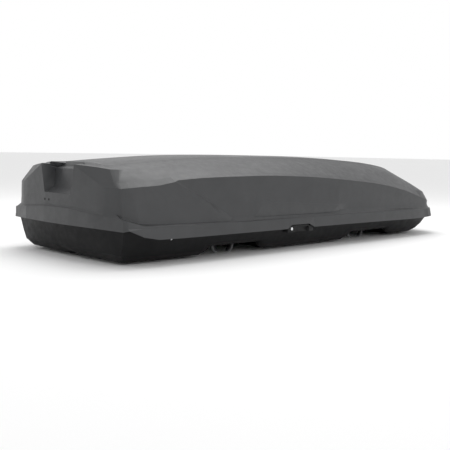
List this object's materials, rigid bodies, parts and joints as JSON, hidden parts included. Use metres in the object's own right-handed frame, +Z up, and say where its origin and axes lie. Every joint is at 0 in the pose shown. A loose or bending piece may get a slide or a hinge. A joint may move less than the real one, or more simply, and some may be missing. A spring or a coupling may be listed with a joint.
{
  "type": "roof cargo box",
  "caption": "Long hard-shell car roof box whose hinged lid opens on one side, with a keyed side lock, gas struts and screw-closed claw clamps for roof bars.",
  "frame": {"origin": "middle of the bounding box, on the plane the box rests on", "axes": "+X forward to the nose, +Y to the left (hinge side), +Z up; the lock side faces -Y"},
  "size_m": [2.276, 0.8912, 0.4217],
  "materials": {
    "lid_abs": "satin textured",
    "base_abs": "matt",
    "black_plastic": "matt",
    "knob_plastic": "satin",
    "zinc_steel": "zinc plated",
    "claw_steel": "grey coated",
    "bright_steel": "bright",
    "lock_chrome": "polished",
    "rail_aluminium": "mill finish",
    "strut_paint": "gloss black",
    "rubber": "matt"
  },
  "bodies": {
    "base": {"base_shell": "base_abs", "hinge_base_leaves": "zinc_steel", "hinge_pins": "bright_steel", "strut_base_brackets": "zinc_steel", "lock_housing": "black_plastic", "lock_bar_guides": "black_plastic", "side_rivets": "bright_steel", "rail_right": "rail_aluminium", "rail_left": "rail_aluminium", "rail_rivets": "bright_steel", "clamp_pivot_pins": "bright_steel", "clamp_rear_right_housing": "black_plastic", "clamp_rear_left_housing": "black_plastic", "clamp_front_right_housing": "black_plastic", "clamp_front_left_housing": "black_plastic"},
    "lid": {"lid_shell": "lid_abs", "hinge_lid_leaves": "zinc_steel", "strut_lid_brackets": "zinc_steel", "lock_strikers": "zinc_steel", "rear_plugs": "black_plastic"},
    "lock": {"lock_cylinder": "lock_chrome", "lock_pinion": "zinc_steel"},
    "lock_bar": {"lock_bar": "zinc_steel"},
    "strut_rear_tube": {"strut_rear_tube": "strut_paint"},
    "strut_rear_rod": {"strut_rear_rod": "bright_steel"},
    "strut_front_tube": {"strut_front_tube": "strut_paint"},
    "strut_front_rod": {"strut_front_rod": "bright_steel"},
    "clamp_rear_right_knob": {"clamp_rear_right_knob": "knob_plastic", "clamp_rear_right_spindle": "bright_steel"},
    "clamp_rear_right_nut": {"clamp_rear_right_nut": "zinc_steel"},
    "clamp_rear_right_jaw_rear": {"clamp_rear_right_jaw_rear": "claw_steel", "clamp_rear_right_pad_rear": "rubber"},
    "clamp_rear_right_jaw_front": {"clamp_rear_right_jaw_front": "claw_steel", "clamp_rear_right_pad_front": "rubber"},
    "clamp_rear_left_knob": {"clamp_rear_left_knob": "knob_plastic", "clamp_rear_left_spindle": "bright_steel"},
    "clamp_rear_left_nut": {"clamp_rear_left_nut": "zinc_steel"},
    "clamp_rear_left_jaw_rear": {"clamp_rear_left_jaw_rear": "claw_steel", "clamp_rear_left_pad_rear": "rubber"},
    "clamp_rear_left_jaw_front": {"clamp_rear_left_jaw_front": "claw_steel", "clamp_rear_left_pad_front": "rubber"},
    "clamp_front_right_knob": {"clamp_front_right_knob": "knob_plastic", "clamp_front_right_spindle": "bright_steel"},
    "clamp_front_right_nut": {"clamp_front_right_nut": "zinc_steel"},
    "clamp_front_right_jaw_rear": {"clamp_front_right_jaw_rear": "claw_steel", "clamp_front_right_pad_rear": "rubber"},
    "clamp_front_right_jaw_front": {"clamp_front_right_jaw_front": "claw_steel", "clamp_front_right_pad_front": "rubber"},
    "clamp_front_left_knob": {"clamp_front_left_knob": "knob_plastic", "clamp_front_left_spindle": "bright_steel"},
    "clamp_front_left_nut": {"clamp_front_left_nut": "zinc_steel"},
    "clamp_front_left_jaw_rear": {"clamp_front_left_jaw_rear": "claw_steel", "clamp_front_left_pad_rear": "rubber"},
    "clamp_front_left_jaw_front": {"clamp_front_left_jaw_front": "claw_steel", "clamp_front_left_pad_front": "rubber"}
  },
  "joints": [
    {"name": "lid_open", "type": "hinge", "parent": "base", "child": "lid", "pos_m": [0, 0.4085, 0.104], "axis": [-1, 0, 0], "range_deg": [0, 52]},
    {"name": "strut_rear_tube_pivot", "type": "hinge", "parent": "base", "child": "strut_rear_tube", "pos_m": [-1.045, 0.14113, 0.06642], "axis": [-1, 0, 0], "range_deg": [0, 26]},
    {"name": "strut_rear_rod_pivot", "type": "hinge", "parent": "lid", "child": "strut_rear_rod", "pos_m": [-1.045, 0.24227, 0.31676], "axis": [-1, 0, 0], "range_deg": [-26, 0]},
    {"name": "strut_front_tube_pivot", "type": "hinge", "parent": "base", "child": "strut_front_tube", "pos_m": [0.6, 0.14113, 0.06642], "axis": [-1, 0, 0], "range_deg": [0, 26]},
    {"name": "strut_front_rod_pivot", "type": "hinge", "parent": "lid", "child": "strut_front_rod", "pos_m": [0.6, 0.24227, 0.31676], "axis": [-1, 0, 0], "range_deg": [-26, 0]},
    {"name": "lock_turn", "type": "hinge", "parent": "base", "child": "lock", "pos_m": [-0.199, -0.425, 0.1], "axis": [0, 1, 0], "range_deg": [0, 90]},
    {"name": "lock_bar_slide", "type": "slide", "parent": "base", "child": "lock_bar", "axis": [1, 0, 0], "range_m": [0, 0.01885]},
    {"name": "clamp_rear_right_turn", "type": "hinge", "parent": "base", "child": "clamp_rear_right_knob", "pos_m": [-0.48, -0.28, 0.1], "axis": [0, 0, -1], "range_deg": [0, 1440]},
    {"name": "clamp_rear_right_nut_slide", "type": "slide", "parent": "base", "child": "clamp_rear_right_nut", "axis": [0, 0, 1], "range_m": [0, 0.012]},
    {"name": "clamp_rear_right_jaw_rear_swing", "type": "hinge", "parent": "base", "child": "clamp_rear_right_jaw_rear", "pos_m": [-0.532, -0.28, 0.066], "axis": [0, -1, 0], "range_deg": [0, 20]},
    {"name": "clamp_rear_right_jaw_front_swing", "type": "hinge", "parent": "base", "child": "clamp_rear_right_jaw_front", "pos_m": [-0.428, -0.28, 0.066], "axis": [0, 1, 0], "range_deg": [0, 20]},
    {"name": "clamp_rear_left_turn", "type": "hinge", "parent": "base", "child": "clamp_rear_left_knob", "pos_m": [-0.48, 0.28, 0.1], "axis": [0, 0, -1], "range_deg": [0, 1440]},
    {"name": "clamp_rear_left_nut_slide", "type": "slide", "parent": "base", "child": "clamp_rear_left_nut", "axis": [0, 0, 1], "range_m": [0, 0.012]},
    {"name": "clamp_rear_left_jaw_rear_swing", "type": "hinge", "parent": "base", "child": "clamp_rear_left_jaw_rear", "pos_m": [-0.532, 0.28, 0.066], "axis": [0, -1, 0], "range_deg": [0, 20]},
    {"name": "clamp_rear_left_jaw_front_swing", "type": "hinge", "parent": "base", "child": "clamp_rear_left_jaw_front", "pos_m": [-0.428, 0.28, 0.066], "axis": [0, 1, 0], "range_deg": [0, 20]},
    {"name": "clamp_front_right_turn", "type": "hinge", "parent": "base", "child": "clamp_front_right_knob", "pos_m": [0.48, -0.28, 0.1], "axis": [0, 0, -1], "range_deg": [0, 1440]},
    {"name": "clamp_front_right_nut_slide", "type": "slide", "parent": "base", "child": "clamp_front_right_nut", "axis": [0, 0, 1], "range_m": [0, 0.012]},
    {"name": "clamp_front_right_jaw_rear_swing", "type": "hinge", "parent": "base", "child": "clamp_front_right_jaw_rear", "pos_m": [0.428, -0.28, 0.066], "axis": [0, -1, 0], "range_deg": [0, 20]},
    {"name": "clamp_front_right_jaw_front_swing", "type": "hinge", "parent": "base", "child": "clamp_front_right_jaw_front", "pos_m": [0.532, -0.28, 0.066], "axis": [0, 1, 0], "range_deg": [0, 20]},
    {"name": "clamp_front_left_turn", "type": "hinge", "parent": "base", "child": "clamp_front_left_knob", "pos_m": [0.48, 0.28, 0.1], "axis": [0, 0, -1], "range_deg": [0, 1440]},
    {"name": "clamp_front_left_nut_slide", "type": "slide", "parent": "base", "child": "clamp_front_left_nut", "axis": [0, 0, 1], "range_m": [0, 0.012]},
    {"name": "clamp_front_left_jaw_rear_swing", "type": "hinge", "parent": "base", "child": "clamp_front_left_jaw_rear", "pos_m": [0.428, 0.28, 0.066], "axis": [0, -1, 0], "range_deg": [0, 20]},
    {"name": "clamp_front_left_jaw_front_swing", "type": "hinge", "parent": "base", "child": "clamp_front_left_jaw_front", "pos_m": [0.532, 0.28, 0.066], "axis": [0, 1, 0], "range_deg": [0, 20]}
  ],
  "couplings": [
    {"joint": "strut_rear_tube_pivot", "follows": "lid_open", "ratio": 0.5},
    {"joint": "strut_rear_rod_pivot", "follows": "lid_open", "ratio": -0.5},
    {"joint": "strut_front_tube_pivot", "follows": "lid_open", "ratio": 0.5},
    {"joint": "strut_front_rod_pivot", "follows": "lid_open", "ratio": -0.5},
    {"joint": "lock_turn", "follows": "lock_bar_slide", "rad_per_m": 83.333},
    {"joint": "clamp_rear_right_nut_slide", "follows": "clamp_rear_right_turn", "m_per_rad": 0.00047746},
    {"joint": "clamp_rear_right_jaw_rear_swing", "follows": "clamp_rear_right_turn", "ratio": 0.013889},
    {"joint": "clamp_rear_right_jaw_front_swing", "follows": "clamp_rear_right_turn", "ratio": 0.013889},
    {"joint": "clamp_rear_left_nut_slide", "follows": "clamp_rear_left_turn", "m_per_rad": 0.00047746},
    {"joint": "clamp_rear_left_jaw_rear_swing", "follows": "clamp_rear_left_turn", "ratio": 0.013889},
    {"joint": "clamp_rear_left_jaw_front_swing", "follows": "clamp_rear_left_turn", "ratio": 0.013889},
    {"joint": "clamp_front_right_nut_slide", "follows": "clamp_front_right_turn", "m_per_rad": 0.00047746},
    {"joint": "clamp_front_right_jaw_rear_swing", "follows": "clamp_front_right_turn", "ratio": 0.013889},
    {"joint": "clamp_front_right_jaw_front_swing", "follows": "clamp_front_right_turn", "ratio": 0.013889},
    {"joint": "clamp_front_left_nut_slide", "follows": "clamp_front_left_turn", "m_per_rad": 0.00047746},
    {"joint": "clamp_front_left_jaw_rear_swing", "follows": "clamp_front_left_turn", "ratio": 0.013889},
    {"joint": "clamp_front_left_jaw_front_swing", "follows": "clamp_front_left_turn", "ratio": 0.013889}
  ]
}
